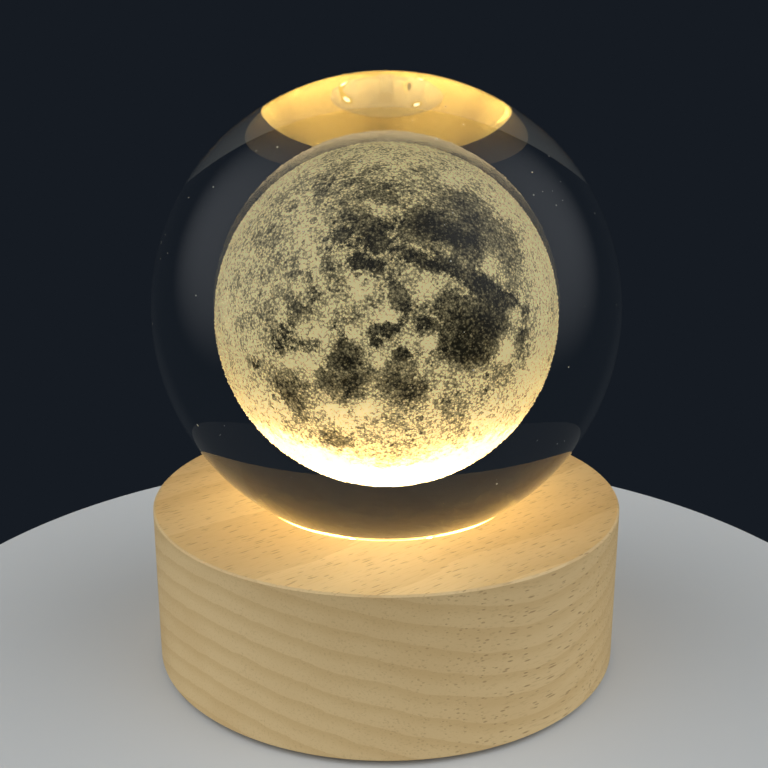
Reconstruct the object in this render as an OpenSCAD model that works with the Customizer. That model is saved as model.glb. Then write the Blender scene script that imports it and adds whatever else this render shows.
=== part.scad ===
// Moon lamp: a solid crystal ball with a moon engraved inside it, resting on a turned
// beech base that lights it from below. Millimetres, +Z up, the front faces -Y.
// The origin is the centre of the face that the feet stand on.

/* [Beech base] */
// Diameter of the turned base
base_d = 83; // [79:0.5:110]
// Height of the wood, without its feet
base_h = 28; // [27.5:0.5:50]
// Sanded break along the wood's sharp edges
edge_break = 0.3; // [0.1:0.05:1]
// Diameter of the light well under the ball
well_d = 42.2; // [41:0.1:46]
// Width of the sloped ring that the ball rests on
seat_w = 1; // [0.4:0.1:2]
// Wood left between the light well and the chamber below it
web_t = 3; // [2.5:0.25:3.5]
// Hole in that wood for the leads
lead_hole_d = 8; // [6:0.5:10]
// Diameter of the chamber for the electric parts
chamber_d = 52; // [46:1:60]

/* [Crystal ball] */
// Diameter of the ball
ball_d = 80; // [66:1:100]
// Gap between the ball and its seat
seat_gap = 0.15; // [0.05:0.05:0.3]
// Gap between the ball's lowest point and the light board
board_gap = 0.65; // [0.55:0.05:2]
// Diameter of the engraved moon inside the ball
moon_d = 39; // [30:0.2:50]
// How far the engraved moon's middle lies below the ball's
moon_drop = 0.7; // [0:0.1:3]
// Gap between the engraved moon and the clear glass round it
moon_gap = 0.05; // [0.02:0.01:0.1]

/* [Light board] */
// Diameter of the round light board
board_d = 40; // [38:0.5:40.5]
// Thickness of the light board
board_t = 1; // [0.8:0.1:1.6]
// Number of light chips in the ring
led_count = 6; // [4:1:8]
// Radius of the ring of light chips
led_ring_r = 14; // [13.5:0.5:17.5]
// Turn of the ring of light chips, from the front towards +X
led_turn = 34; // [0:1:60]
// Length of a light chip, along the ring
led_l = 3.5; // [3:0.1:5]
// Width of a light chip
led_w = 2.8; // [2.4:0.1:4]
// Height of a light chip
led_h = 0.8; // [0.6:0.1:1.2]
// Diameter of the yellow window of a light chip
window_d = 2.3; // [1.6:0.1:2.3]
// Depth of the yellow window of a light chip
window_t = 0.3; // [0.2:0.05:0.4]
// Distance of each board screw from the centre
board_screw_r = 9.5; // [8:0.5:9.5]

/* [Bottom cover and feet] */
// Diameter of the bottom cover
cover_d = 65; // [64:0.5:66]
// Thickness of the bottom cover
cover_t = 1.6; // [1.2:0.1:2.4]
// Distance of each cover screw from the centre
cover_screw_r = 29.2; // [29:0.1:30]
// Number of cover screws
cover_screw_count = 3; // [3:1:6]
// Diameter of a foot pad
foot_d = 5.8; // [4:0.2:6]
// Thickness of a foot pad
foot_h = 0.8; // [0.5:0.1:2]
// Number of foot pads
foot_count = 4; // [3:1:8]

/* [Rear panel] */
// Width of the panel that carries the power port and the switch
panel_w = 37; // [36:0.5:40]
// Height of the panel
panel_h = 10.4; // [10.2:0.2:11]
// Thickness of the panel
panel_t = 1.6; // [1.2:0.1:2]
// Distance of each panel screw from the panel's middle
panel_screw_x = 15.4; // [15:0.1:16]
// Width of the slot through the wood behind the panel
slot_w = 26; // [25.5:0.5:27]
// Height of the slot through the wood behind the panel
slot_h = 8.8; // [8.6:0.1:9.4]

/* [Power port] */
// Sideways place of the port, from the panel's middle
port_x = -7; // [-7.2:0.1:-6]
// Outer width of the metal shell
port_w = 8.94; // [8.94]
// Outer height of the metal shell
port_h = 3.26; // [3.26]
// Length of the metal shell
port_l = 7.2; // [6.5:0.1:8]
// Wall of the metal shell
port_wall = 0.3; // [0.3]
// Width of the small board under the port
port_board_w = 11; // [10:0.5:11]
// Length of the small board under the port
port_board_l = 10; // [10:0.5:12]
// Thickness of the small board under the port
port_board_t = 1; // [0.8:0.1:1.2]

/* [Switch] */
// Sideways place of the push button, from the panel's middle
switch_x = 7; // [6.5:0.1:7.5]
// Diameter of the push button
button_d = 5.2; // [4:0.2:5.4]
// How far the button stands out of the panel
button_out = 2.5; // [1.5:0.1:3]
// Travel of the button
button_travel = 1.2; // [0.8:0.1:1.2]
// Width of the switch housing
switch_w = 9; // [8.6:0.1:9.2]
// Height of the switch housing
switch_h = 8; // [7.6:0.1:8.2]
// Wire of the button's spring
spring_wire = 0.3; // [0.2:0.05:0.35]
// Number of whole turns of the spring
spring_turns = 3; // [2:1:4]

/* [Leads] */
// Diameter of an insulated lead
lead_d = 1.2; // [0.8:0.1:1.4]

/* [Clearances] */
// Gap between fixed pieces that fit into one another
fit_gap = 0.05; // [0.02:0.01:0.1]
// Gap round a pocket that a plate drops into
plate_gap = 0.25; // [0.1:0.05:0.4]
// Gap round the button in its hole
button_gap = 0.15; // [0.1:0.05:0.2]
// Radial running gap of the button's stem
stem_gap = 0.05; // [0.02:0.01:0.1]

/* [Hidden] */
$fn = 96;
eps = 0.01;

// Heights
wood_z = foot_h;
top_z = wood_z + base_h;

// The ball touches the middle of the sloped seat, which is tangent to it
seat_r = well_d / 2 + seat_w / 2;
ball_r = ball_d / 2;
seat_tilt = asin(seat_r / (ball_r + seat_gap));
seat_drop = seat_w * tan(seat_tilt);
ball_z = top_z - seat_drop / 2 + (ball_r + seat_gap) * cos(seat_tilt);

// The light board lies just below the ball
board_top_z = ball_z - ball_r - board_gap;
well_z = board_top_z - board_t;
web_z = well_z - web_t;
panel_z = (wood_z + cover_t + web_z) / 2;

// Rear panel: its flat face lies just inside the round wall at both ends
panel_face_y = sqrt(pow(base_d / 2, 2) - pow(panel_w / 2, 2)) - 0.25;
panel_y = panel_face_y - panel_t;

// Power port
port_z = panel_z + 0.9;
port_board_z = port_z - port_h / 2 - port_board_t;
port_board_y = panel_y - 0.2;
port_rear_y = port_board_y - port_board_l;
shelf_t = 1.2;
port_pad_x = 3.4;
port_pad_y = port_rear_y + 2.2;
port_lead_z = port_board_z + port_board_t + lead_d / 2 + 0.1;

// Switch, measured inwards from the back of the panel
flange_d = 6.2;
flange_t = 1.2;
flange_y = panel_y - 0.1 - flange_t;
flange_room = 0.4;
bore_y = flange_y - button_travel - flange_room;
stem_d = 2;
shelf_y = flange_y - 3.9;
stem_end_y = shelf_y - 1.3;
shelf_wall = 0.8;
tip_d = 1.2;
tip_l = 0.6;
rivet_t = 0.3;
contact_t = 0.4;
bridge_y = stem_end_y - fit_gap - contact_t;
pad_y = bridge_y - button_travel - 0.05;
pad_t = 0.6;
switch_floor_y = pad_y - pad_t;
switch_base_t = 1.4;
switch_rear_y = switch_floor_y - switch_base_t;
terminal_x = 2.2;
terminal_l = 3;
terminal_y = switch_rear_y - terminal_l;
spring_r = 1.4;

// Screws: thread, head, height of the head, whole length
cover_screw = [2, 3.8, 1.2, 6.5];
panel_screw = [1.8, 3.4, 1, 6];
board_screw = [1.8, 3.2, 0.9, 0.9 + board_t + web_t - 0.8];
port_screw = [1.4, 2.4, 0.6, 0.6 + port_board_t + shelf_t];

// Leads: the ends follow their terminals, and the bends between were chosen by hand
lead_x = 2.4;
red_route = [
    [lead_x, 0, well_z - 0.1],
    [lead_x, 0, web_z + 1],
    [2, 1, web_z - 2],
    [4, 5, panel_z + 1],
    [8, 10, panel_z],
    [switch_x + terminal_x, terminal_y - 5, panel_z],
    [switch_x + terminal_x, terminal_y - 0.1, panel_z]
];
black_route = [
    [-lead_x, 0, well_z - 0.1],
    [-lead_x, 0, web_z + 1],
    [-2, 1, web_z - 2],
    [-4, 5, panel_z + 1],
    [-9, 11, panel_z],
    [port_x - port_pad_x, port_pad_y - 5, port_lead_z],
    [port_x - port_pad_x, port_pad_y - 0.6, port_lead_z]
];
feed_route = [
    [port_x + port_pad_x, port_pad_y - 0.6, port_lead_z],
    [port_x + port_pad_x, port_pad_y - 4.5, port_lead_z],
    [-2.2, port_pad_y - 8, panel_z - 0.5],
    [0.5, port_pad_y - 9, panel_z - 1],
    [3.4, terminal_y - 6.5, panel_z - 0.5],
    [switch_x - terminal_x, terminal_y - 3.5, panel_z],
    [switch_x - terminal_x, terminal_y - 0.1, panel_z]
];

// ---------- helpers ----------

// Places its children count times round the vertical axis
module around(count, radius, start = 0) {
    for (i = [0 : count - 1])
        rotate([0, 0, start + i * 360 / count])
            translate([radius, 0, 0])
                children();
}

// A cylinder that runs along +Y from y0 to y1
module along_y(r, y0, y1) {
    translate([0, y0, 0])
        rotate([-90, 0, 0])
            cylinder(r = r, h = y1 - y0);
}

// A plate with half-round ends, w wide and h high, from y0 to y1
module slab_round(w, h, y0, y1) {
    for (s = [-1, 1])
        translate([s * (w - h) / 2, 0, 0])
            along_y(h / 2, y0, y1);
    translate([-(w - h) / 2, y0, -h / 2])
        cube([w - h, y1 - y0, h]);
}

// A box centred on X and Z, from y0 to y1
module bar(w, h, y0, y1) {
    translate([-w / 2, y0, -h / 2])
        cube([w, y1 - y0, h]);
}

// A countersunk screw, its head's face at z = 0 and its thread towards -Z
module screw(size) {
    difference() {
        union() {
            translate([0, 0, -size[2]])
                cylinder(d1 = size[0], d2 = size[1], h = size[2]);
            translate([0, 0, -size[3]])
                cylinder(d = size[0], h = size[3] - size[2] + eps);
        }
        for (turn = [0, 90])
            rotate([0, 0, turn])
                translate([-size[1] * 0.32, -size[1] * 0.07, -size[2] * 0.6])
                    cube([size[1] * 0.64, size[1] * 0.14, size[2]]);
    }
}

// The room that such a screw needs
module screw_room(size) {
    translate([0, 0, -size[2]])
        cylinder(
            d1 = size[0] + 2 * fit_gap,
            d2 = size[1] + 2 * fit_gap,
            h = size[2]
        );
    translate([0, 0, -size[3] - fit_gap])
        cylinder(d = size[0] + 2 * fit_gap, h = size[3] + fit_gap);
    cylinder(d = size[1] + 2 * fit_gap, h = 1);
}

// Puts a screw or its room, made along Z, at a place on the panel's face
module on_panel(x) {
    translate([x, panel_face_y, panel_z])
        rotate([-90, 0, 0])
            children();
}

module on_cover() {
    around(cover_screw_count, cover_screw_r, 30)
        translate([0, 0, wood_z])
            rotate([180, 0, 0])
                children();
}

module on_board() {
    around(2, board_screw_r, 90)
        translate([0, 0, board_top_z + board_screw[2]])
            children();
}

// ---------- tubes along a route ----------

function unit(v) = v / norm(v);

// A smooth curve through the route's points, with n steps from each to the next
function curve_point(a, b, c, d, t) =
    0.5 * (2 * b + (c - a) * t + (2 * a - 5 * b + 4 * c - d) * t * t
        + (3 * b - a - 3 * c + d) * t * t * t);
function smooth(route, n) = [
    for (i = [0 : len(route) - 2])
        for (k = [0 : n - 1])
            curve_point(
                route[max(i - 1, 0)], route[i], route[i + 1],
                route[min(i + 2, len(route) - 1)], k / n
            ),
    route[len(route) - 1]
];

// The direction of a path at its point i
function heading(path, i) =
    unit(path[min(i + 1, len(path) - 1)] - path[max(i - 1, 0)]);

// One ring of the tube: u is the side vector made square to the path
function ring(p, t, side, r, n) =
    let (u = unit(side - (side * t) * t), v = cross(t, u))
    [for (k = [0 : n - 1]) p + r * (cos(360 * k / n) * u + sin(360 * k / n) * v)];

// A closed tube with flat ends. sides[i] is a vector that is never along the path there
module tube(path, sides, r, n) {
    rings = len(path);
    points = [
        for (i = [0 : rings - 1])
            for (p = ring(path[i], heading(path, i), sides[i], r, n)) p
    ];
    walls = [
        for (i = [0 : rings - 2])
            for (k = [0 : n - 1])
                let (
                    a = i * n + k,
                    b = i * n + (k + 1) % n,
                    c = b + n,
                    d = a + n
                )
                for (face = [[a, d, b], [b, d, c]]) face
    ];
    first = [for (k = [0 : n - 1]) k];
    last = [for (k = [n - 1 : -1 : 0]) (rings - 1) * n + k];
    polyhedron(points = points, faces = concat(walls, [first, last]), convexity = 8);
}

module lead(route, side) {
    path = smooth(route, 3);
    tube(path, [for (p = path) side], lead_d / 2, 8);
}

// ---------- wooden base ----------

module base_profile() {
    r = base_d / 2;
    polygon([
        [cover_d / 2 + plate_gap, wood_z],
        [r - edge_break, wood_z],
        [r, wood_z + edge_break],
        [r, top_z - edge_break],
        [r - edge_break, top_z],
        [well_d / 2 + seat_w, top_z],
        [well_d / 2, top_z - seat_drop],
        [well_d / 2, well_z],
        [lead_hole_d / 2, well_z],
        [lead_hole_d / 2, web_z],
        [chamber_d / 2, web_z],
        [chamber_d / 2, wood_z + cover_t],
        [cover_d / 2 + plate_gap, wood_z + cover_t]
    ]);
}

module wood_base() {
    color("burlywood")
        difference() {
            rotate_extrude(convexity = 6)
                base_profile();
            translate([0, 0, panel_z]) {
                slab_round(
                    panel_w + 2 * plate_gap, panel_h + 2 * plate_gap,
                    panel_y, base_d / 2 + 1
                );
                bar(slot_w, slot_h, chamber_d / 4, panel_y + 1);
            }
            on_cover()
                screw_room(cover_screw);
            for (s = [-1, 1])
                on_panel(s * panel_screw_x)
                    screw_room(panel_screw);
            on_board()
                screw_room(board_screw);
        }
}

// ---------- crystal ball ----------

module crystal_ball() {
    color("aliceblue", 0.35)
        translate([0, 0, ball_z])
            difference() {
                sphere(r = ball_r);
                translate([0, 0, -moon_drop])
                    sphere(r = moon_d / 2 + moon_gap);
            }
}

module moon_engraving() {
    color("lemonchiffon")
        translate([0, 0, ball_z - moon_drop])
            sphere(d = moon_d);
}

// ---------- light board ----------

module on_ring() {
    around(led_count, led_ring_r, led_turn - 90)
        translate([0, 0, board_top_z])
            children();
}

module led_board() {
    color("white")
        difference() {
            translate([0, 0, well_z])
                cylinder(d = board_d, h = board_t);
            on_board()
                translate([0, 0, -board_screw[2] - board_t - 1])
                    cylinder(d = board_screw[0] + 2 * fit_gap, h = board_t + 2);
        }
}

module led_packages() {
    color("ivory")
        on_ring()
            difference() {
                translate([-led_w / 2, -led_l / 2, 0])
                    cube([led_w, led_l, led_h]);
                translate([0, 0, led_h - window_t])
                    cylinder(d = window_d + 2 * fit_gap, h = window_t + 1);
            }
}

module led_windows() {
    color("gold")
        on_ring()
            translate([0, 0, led_h - window_t])
                cylinder(d = window_d, h = window_t);
}

resistor_l = 3.2;
resistor_w = 1.6;
resistor_t = 0.55;
resistor_cap = 0.5;

module on_resistors() {
    around(3, board_screw_r, 0)
        translate([0, 0, board_top_z])
            children();
}

module chip_resistors() {
    color("black")
        on_resistors()
            translate([-resistor_w / 2, -resistor_l / 2 + resistor_cap, 0])
                cube([resistor_w, resistor_l - 2 * resistor_cap, resistor_t]);
}

module resistor_ends() {
    color("silver")
        on_resistors()
            for (y = [-resistor_l / 2, resistor_l / 2 - resistor_cap])
                translate([-resistor_w / 2, y, 0])
                    cube([resistor_w, resistor_cap, resistor_t + 0.05]);
}

// Screws stand with the cone of their head on the light board
module board_screws() {
    color("silver")
        on_board()
            screw(board_screw);
}

module solder_dome(r) {
    intersection() {
        translate([0, 0, -r * 0.4])
            sphere(r = r);
        cylinder(r = r, h = r);
    }
}

module board_solder() {
    color("silver")
        for (s = [-1, 1])
            translate([s * lead_x, 0, board_top_z])
                solder_dome(0.8);
}

// ---------- leads ----------

module red_lead() {
    color("firebrick")
        lead(red_route, [1, 0, 0]);
}

module black_lead() {
    color("dimgray")
        lead(black_route, [1, 0, 0]);
}

module feed_lead() {
    color("firebrick")
        lead(feed_route, [0, 0, 1]);
}

module heat_shrink_sleeves() {
    color("black")
        for (s = [-1, 1])
            translate([switch_x + s * terminal_x, 0, panel_z])
                difference() {
                    along_y(lead_d / 2 + 0.7, terminal_y - 2.5, terminal_y + 1.8);
                    along_y(lead_d / 2 + 0.4, terminal_y - 3, terminal_y + 2);
                }
}

// ---------- rear panel ----------

module rear_panel() {
    color("dimgray") {
        difference() {
            translate([0, 0, panel_z])
                slab_round(panel_w, panel_h, panel_y, panel_face_y);
            translate([port_x, 0, port_z])
                slab_round(
                    port_w + 2 * fit_gap, port_h + 2 * fit_gap,
                    panel_y - 1, panel_face_y + 1
                );
            translate([switch_x, 0, panel_z])
                along_y(button_d / 2 + button_gap, panel_y - 1, panel_face_y + 1);
            for (s = [-1, 1])
                on_panel(s * panel_screw_x)
                    screw_room(panel_screw);
        }
        // Shelf that carries the small board
        difference() {
            translate([port_x, 0, port_board_z - shelf_t / 2])
                bar(port_board_w - 1, shelf_t, port_rear_y + 0.5, panel_y + eps);
            translate([port_x, port_screw_y, port_board_z - shelf_t / 2])
                cylinder(d = port_screw[0] + 2 * fit_gap, h = 10, center = true);
        }
    }
}

module panel_screws() {
    color("silver")
        for (s = [-1, 1])
            on_panel(s * panel_screw_x)
                screw(panel_screw);
}

// ---------- power port ----------

tongue_w = 6.7;
tongue_t = 0.7;
tongue_back = 1.4;
tongue_short = 0.6;
port_screw_y = port_rear_y + 1.7;

module port_shell() {
    color("silver")
        translate([port_x, 0, port_z])
            difference() {
                slab_round(port_w, port_h, panel_face_y - port_l, panel_face_y);
                slab_round(
                    port_w - 2 * port_wall, port_h - 2 * port_wall,
                    panel_face_y - port_l - 1, panel_face_y + 1
                );
            }
}

module port_tongue() {
    color("black")
        translate([port_x, 0, port_z]) {
            slab_round(
                port_w - 2 * port_wall - 2 * fit_gap,
                port_h - 2 * port_wall - 2 * fit_gap,
                panel_face_y - port_l, panel_face_y - port_l + tongue_back
            );
            bar(
                tongue_w, tongue_t,
                panel_face_y - port_l + tongue_back - eps, panel_face_y - tongue_short
            );
        }
}

// Six flat contacts, three on each side of the tongue
module port_contacts() {
    contact_w = 0.5;
    contact_h = 0.08;
    color("gold")
        for (side = [0, 180])
            for (i = [-1 : 1])
                translate([port_x, 0, port_z])
                    rotate([0, side, 0])
                        translate([i * 1.8, 0, (tongue_t + contact_h) / 2])
                            bar(
                                contact_w, contact_h,
                                panel_face_y - port_l + tongue_back + 0.1,
                                panel_face_y - tongue_short - 0.4
                            );
}

module port_board() {
    color("seagreen")
        difference() {
            translate([port_x, 0, port_board_z + port_board_t / 2])
                bar(port_board_w, port_board_t, port_rear_y, port_board_y);
            translate([port_x, port_screw_y, port_board_z - 1])
                cylinder(d = port_screw[0] + 2 * fit_gap, h = port_board_t + 2);
        }
}

module port_board_screw() {
    color("silver")
        translate([port_x, port_screw_y, port_board_z + port_board_t + port_screw[2]])
            screw(port_screw);
}

module port_solder() {
    color("silver")
        for (s = [-1, 1])
            translate([
                port_x + s * port_pad_x, port_pad_y + 0.5, port_board_z + port_board_t
            ])
                solder_dome(1);
}

// ---------- switch ----------

module switch_housing() {
    color("dimgray")
        translate([switch_x, 0, panel_z])
            difference() {
                bar(switch_w, switch_h, switch_floor_y, panel_y);
                along_y(flange_d / 2 + 0.2, bore_y, panel_y + 1);
                along_y(spring_r + spring_wire / 2 + 0.5, shelf_y, bore_y + eps);
                along_y(stem_d / 2 + stem_gap, switch_floor_y, shelf_y + eps);
                bar(7.2, 2.8, switch_floor_y - 1, shelf_y - shelf_wall);
            }
}

module switch_base() {
    color("black")
        translate([switch_x, 0, panel_z])
            difference() {
                bar(switch_w, switch_h, switch_rear_y, switch_floor_y);
                for (s = [-1, 1])
                    translate([s * terminal_x, 0, 0])
                        bar(
                            0.5 + 2 * fit_gap, 1.2 + 2 * fit_gap,
                            switch_rear_y - 1, switch_floor_y + 1
                        );
            }
}

module switch_terminals() {
    color("gold")
        translate([switch_x, 0, panel_z])
            for (s = [-1, 1])
                translate([s * terminal_x, 0, 0]) {
                    bar(1.6, 1.6, switch_floor_y, pad_y);
                    bar(0.5, 1.2, terminal_y, switch_floor_y + eps);
                }
}

module switch_button() {
    color("gainsboro")
        translate([switch_x, 0, panel_z]) {
            along_y(button_d / 2, flange_y + flange_t - eps, panel_face_y + button_out - 0.3);
            translate([0, panel_face_y + button_out - 0.3, 0])
                rotate([-90, 0, 0])
                    cylinder(r1 = button_d / 2, r2 = button_d / 2 - 0.3, h = 0.3);
            along_y(flange_d / 2, flange_y, flange_y + flange_t);
            along_y(stem_d / 2, stem_end_y, flange_y + eps);
            along_y(tip_d / 2, stem_end_y - tip_l, stem_end_y + eps);
            along_y(tip_d / 2 + 0.4, stem_end_y - tip_l - rivet_t, stem_end_y - tip_l + eps);
        }
}

module contact_bridge() {
    color("gold")
        translate([switch_x, 0, panel_z])
            difference() {
                bar(6.4, 1.6, bridge_y, bridge_y + contact_t);
                along_y(tip_d / 2 + fit_gap, bridge_y - 1, bridge_y + contact_t + 1);
            }
}

// The spring winds round the stem, from the shelf to the flange, with straight ends
spring_low = shelf_y + 0.05;
spring_high = flange_y - 0.05;
coil_low = spring_low + spring_wire;
coil_high = spring_high - spring_wire;
spring_rings = spring_turns * 8;
function spoke(a) = [cos(a), 0, sin(a)];
spring_spokes = [for (i = [0 : spring_rings]) spoke(i * 45)];
spring_path = concat(
    [[spring_r, spring_low, 0]],
    [
        for (i = [0 : spring_rings])
            spring_r * spring_spokes[i]
                + [0, coil_low + (coil_high - coil_low) * i / spring_rings, 0]
    ],
    [[spring_r, spring_high, 0]]
);
spring_gap = min([
    for (i = [0 : spring_rings])
        for (j = [i + 5 : 1 : spring_rings])
            norm(spring_path[i + 1] - spring_path[j + 1])
]) - spring_wire;
echo(least_gap_of_the_spring_to_itself = spring_gap);

module switch_spring() {
    color("silver")
        translate([switch_x, 0, panel_z])
            tube(
                spring_path,
                concat([spring_spokes[0]], spring_spokes, [spring_spokes[0]]),
                spring_wire / 2, 6
            );
}

// ---------- bottom cover and feet ----------

module bottom_cover() {
    color("darkslategray")
        difference() {
            translate([0, 0, wood_z])
                cylinder(d = cover_d, h = cover_t);
            on_cover()
                screw_room(cover_screw);
        }
}

module cover_screws() {
    color("silver")
        on_cover()
            screw(cover_screw);
}

foot_r = (base_d / 2 - edge_break + cover_d / 2 + plate_gap) / 2;

module foot_pads() {
    color("black")
        around(foot_count, foot_r, 45)
            cylinder(d = foot_d, h = foot_h);
}

wood_base();
crystal_ball();
moon_engraving();
led_board();
led_packages();
led_windows();
chip_resistors();
resistor_ends();
board_screws();
board_solder();
red_lead();
black_lead();
feed_lead();
heat_shrink_sleeves();
rear_panel();
panel_screws();
port_shell();
port_tongue();
port_contacts();
port_board();
port_board_screw();
port_solder();
switch_housing();
switch_base();
switch_terminals();
switch_button();
contact_bridge();
switch_spring();
bottom_cover();
cover_screws();
foot_pads();
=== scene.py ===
"""Moon lamp: a clear crystal ball with a moon engraved inside it, on a turned beech base.

The packed model gives every piece's place. This script gives the pieces their finishes, makes
the clear ball and the engraved moon anew, and sets up a plain studio.
"""

import math

import bmesh
import bpy
from bpy.props import FloatProperty, FloatVectorProperty, PointerProperty
from mathutils import Euler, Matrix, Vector


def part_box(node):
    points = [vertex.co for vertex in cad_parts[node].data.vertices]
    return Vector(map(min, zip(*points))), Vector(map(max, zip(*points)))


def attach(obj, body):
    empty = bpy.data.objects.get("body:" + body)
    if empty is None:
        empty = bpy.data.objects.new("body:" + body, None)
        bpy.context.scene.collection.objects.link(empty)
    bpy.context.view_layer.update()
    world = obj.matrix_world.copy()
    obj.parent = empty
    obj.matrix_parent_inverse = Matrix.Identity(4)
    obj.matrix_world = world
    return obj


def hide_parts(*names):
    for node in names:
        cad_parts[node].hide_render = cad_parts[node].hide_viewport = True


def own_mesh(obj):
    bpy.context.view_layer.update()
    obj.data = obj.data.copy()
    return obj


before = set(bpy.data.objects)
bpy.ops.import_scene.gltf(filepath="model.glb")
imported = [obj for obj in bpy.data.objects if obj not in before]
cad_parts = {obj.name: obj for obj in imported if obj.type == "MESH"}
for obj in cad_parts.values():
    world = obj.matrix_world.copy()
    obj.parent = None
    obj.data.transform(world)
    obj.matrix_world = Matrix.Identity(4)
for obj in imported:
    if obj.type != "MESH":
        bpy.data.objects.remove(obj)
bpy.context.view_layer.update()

bl_info = {
    "name": "Moon Lamp",
    "version": (1, 0, 0),
    "blender": (4, 5, 0),
    "location": "3D View > Sidebar > Moon Lamp",
    "description": "Finishes for a crystal ball lamp with an engraved moon on a beech base",
    "category": "Object",
}

MM = 0.001


# ---------- measures taken from the packed model ----------


def middle(node):
    """The middle of a node's box, and half its width."""
    low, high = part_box(node)
    return (Vector(low) + Vector(high)) / 2, (high[0] - low[0]) / 2


BALL_CENTRE, BALL_RADIUS = middle("crystal_ball")
MOON_CENTRE, MOON_RADIUS = middle("moon_engraving")
BASE_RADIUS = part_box("wood_base")[1][0]
BASE_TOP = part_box("wood_base")[1][2]
BOARD_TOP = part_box("led_board")[1][2]

# Sizes that no box gives
WELL_RADIUS = 21.1 * MM
SEAT_RADIUS = 22.1 * MM
CHIP_RING = 14 * MM
CHIP_COUNT = 6
CHIP_TURN = math.radians(-56)

# How finely the new balls are cut, and how deep the new pieces lie inside the packed balls
BALL_CUTS, MOON_CUTS = 63, 47
DUST_DEPTH = 0.02 * MM
POINTS_DEPTH = 0.10 * MM
SHELL_DEPTH = 0.12 * MM
MERGE_GAP = 0.001 * MM

# Distances from a chip, seen from above, at which each glow starts and is full: the wall, seat and
# board glows are painted light, and the chip's glow is its lamp
WALL_GLOW = (11.5 * MM, 7.0 * MM)
SEAT_GLOW = (8.2 * MM, 7.7 * MM)
BOARD_GLOW = (7 * MM, 1.5 * MM)
CHIP_GLOW = (0.95 * MM, 0.25 * MM)

# The floor's outline, the camera's place to the side, and its sensor's width in millimetres
FLOOR_SIDES = 192
CAMERA_SIDE = -0.4 * MM
NEAREST_SEEN = 10 * MM
SENSOR_WIDTH = 36


# ---------- colours and nodes ----------


def linear(code):
    """A colour written as sRGB hex, as the linear numbers that the shaders use."""
    parts = [int(code[i : i + 2], 16) / 255 for i in (1, 3, 5)]
    return tuple(p / 12.92 if p <= 0.04045 else ((p + 0.055) / 1.055) ** 2.4 for p in parts)


# Short names for nodes: the node, the inputs that are filled in turn, the output, the settings
MAP_INPUTS = ("Value", "From Min", "From Max", "To Min", "To Max")
SHORT = {
    "step": ("ShaderNodeMapRange", MAP_INPUTS, 0, {"interpolation_type": "SMOOTHSTEP"}),
    "slope": ("ShaderNodeMapRange", MAP_INPUTS, 0, {"interpolation_type": "LINEAR"}),
    "mix": ("ShaderNodeMix", (0, 6, 7), 2, {"data_type": "RGBA"}),
    "tint": ("ShaderNodeMix", (0, 6, 7), 2, {"data_type": "RGBA", "blend_type": "MULTIPLY"}),
    "noise": ("ShaderNodeTexNoise", ("Vector", "Scale", "Detail", "Roughness"), 0, {}),
    "bump": ("ShaderNodeBump", ("Height", "Distance"), 0, {}),
    "mapped": ("ShaderNodeMapping", ("Vector",), 0, {"vector_type": "POINT"}),
    "dot": ("ShaderNodeVectorMath", (0, 1), "Value", {"operation": "DOT_PRODUCT"}),
    "unit": ("ShaderNodeVectorMath", (0,), 0, {"operation": "NORMALIZE"}),
    "vector plus": ("ShaderNodeVectorMath", (0, 1), 0, {"operation": "ADD"}),
    "vector minus": ("ShaderNodeVectorMath", (0, 1), 0, {"operation": "SUBTRACT"}),
    "vector times": ("ShaderNodeVectorMath", (0, "Scale"), 0, {"operation": "SCALE"}),
}
for operation in (
    "ABSOLUTE ADD ARCTAN2 COSINE DIVIDE FLOORED_MODULO FRACT "
    "MAXIMUM MINIMUM MULTIPLY POWER SINE SQRT SUBTRACT"
).split():
    SHORT[operation] = ("ShaderNodeMath", (0, 1), 0, {"operation": operation})


def fill(node, inputs):
    """Fills a node's inputs with numbers or colours, or links other sockets to them."""
    for name, value in inputs.items():
        socket = node.inputs[name]
        if isinstance(value, bpy.types.NodeSocket):
            node.id_data.links.new(value, socket)
        elif socket.type == "RGBA":
            socket.default_value = (*value[:3], 1.0)
        else:
            socket.default_value = value


def add(tree, kind, *values, **settings):
    """Adds a node with its settings and links. A short name gives back its output, and a
    node's full name the node. The values fill the inputs in turn, or one dictionary by name."""
    full_name, places, output, preset = SHORT.get(kind, (kind, (), None, {}))
    made = tree.nodes.new(full_name)
    for name, value in {**preset, **settings}.items():
        setattr(made, name, value)
    by_name = values and isinstance(values[0], dict)
    fill(made, values[0] if by_name else dict(zip(places, values)))
    return made if output is None else made.outputs[output]


def hypotenuse(tree, first, second):
    """How long the side across from a right angle is."""
    squares = [add(tree, "POWER", side, 2.0) for side in (first, second)]
    return add(tree, "SQRT", add(tree, "ADD", *squares))


def new_material(name):
    """An empty material: its tree, its shader and the place on the object in metres."""
    material = bpy.data.materials.new(name)
    material.use_nodes = True
    tree = material.node_tree
    shader = tree.nodes["Principled BSDF"]
    place = add(tree, "ShaderNodeTexCoord").outputs["Object"]
    return material, tree, shader, place


def give(shader, **values):
    """Fills the shader's own sockets, underscores standing for spaces."""
    fill(shader, {name.replace("_", " "): value for name, value in values.items()})


# ---------- finishes ----------


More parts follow.
